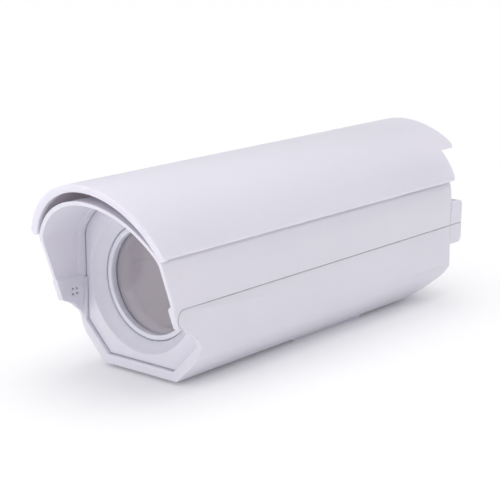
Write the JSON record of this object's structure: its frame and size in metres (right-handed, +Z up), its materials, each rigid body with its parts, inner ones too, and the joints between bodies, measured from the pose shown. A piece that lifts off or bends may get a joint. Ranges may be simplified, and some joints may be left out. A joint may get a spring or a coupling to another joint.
{
  "type": "security camera housing",
  "caption": "Outdoor camera housing: a moulded tray, a hood that tilts up from front hinges, a sunshield over it and a round glass window in a dished front panel.",
  "frame": {"origin": "middle of the bracket pad's underside", "axes": "+Z up, -Y towards the window and visor, +X to the right seen from the front's rear, along the body's length +Y to the tail"},
  "size_m": [0.1298, 0.3975, 0.1493],
  "materials": {
    "housing": "satin moulded plastic",
    "shield": "satin moulded plastic",
    "ring": "satin moulded plastic",
    "window": "clear flat glass",
    "seals": "soft rubber",
    "plate": "brushed sheet",
    "screws": "zinc plated",
    "inserts": "turned",
    "gland": "moulded nylon"
  },
  "bodies": {
    "base": {"base_tray": "housing", "front_panel": "housing", "window_ring": "ring", "window_glass": "window", "window_gasket": "seals", "sealing_strip": "seals", "camera_plate": "plate", "camera_plate_screws": "screws", "camera_screw": "screws", "bracket_inserts": "inserts", "closing_inserts": "inserts", "gland_body_left": "gland", "gland_nut_left": "gland", "gland_cap_left": "gland", "gland_seal_left": "seals", "gland_body_right": "gland", "gland_nut_right": "gland", "gland_cap_right": "gland", "gland_seal_right": "seals"},
    "cover": {"top_hood": "housing", "sunshield": "shield", "shield_washers": "seals", "shield_screws": "screws", "closing_screw_left": "screws", "closing_screw_right": "screws", "closing_washers": "seals"}
  },
  "joints": [
    {"name": "cover_tilt", "type": "hinge", "parent": "base", "child": "cover", "pos_m": [0, -0.1963, 0.05795], "axis": [1, 0, 0], "range_deg": [0, 45]}
  ]
}
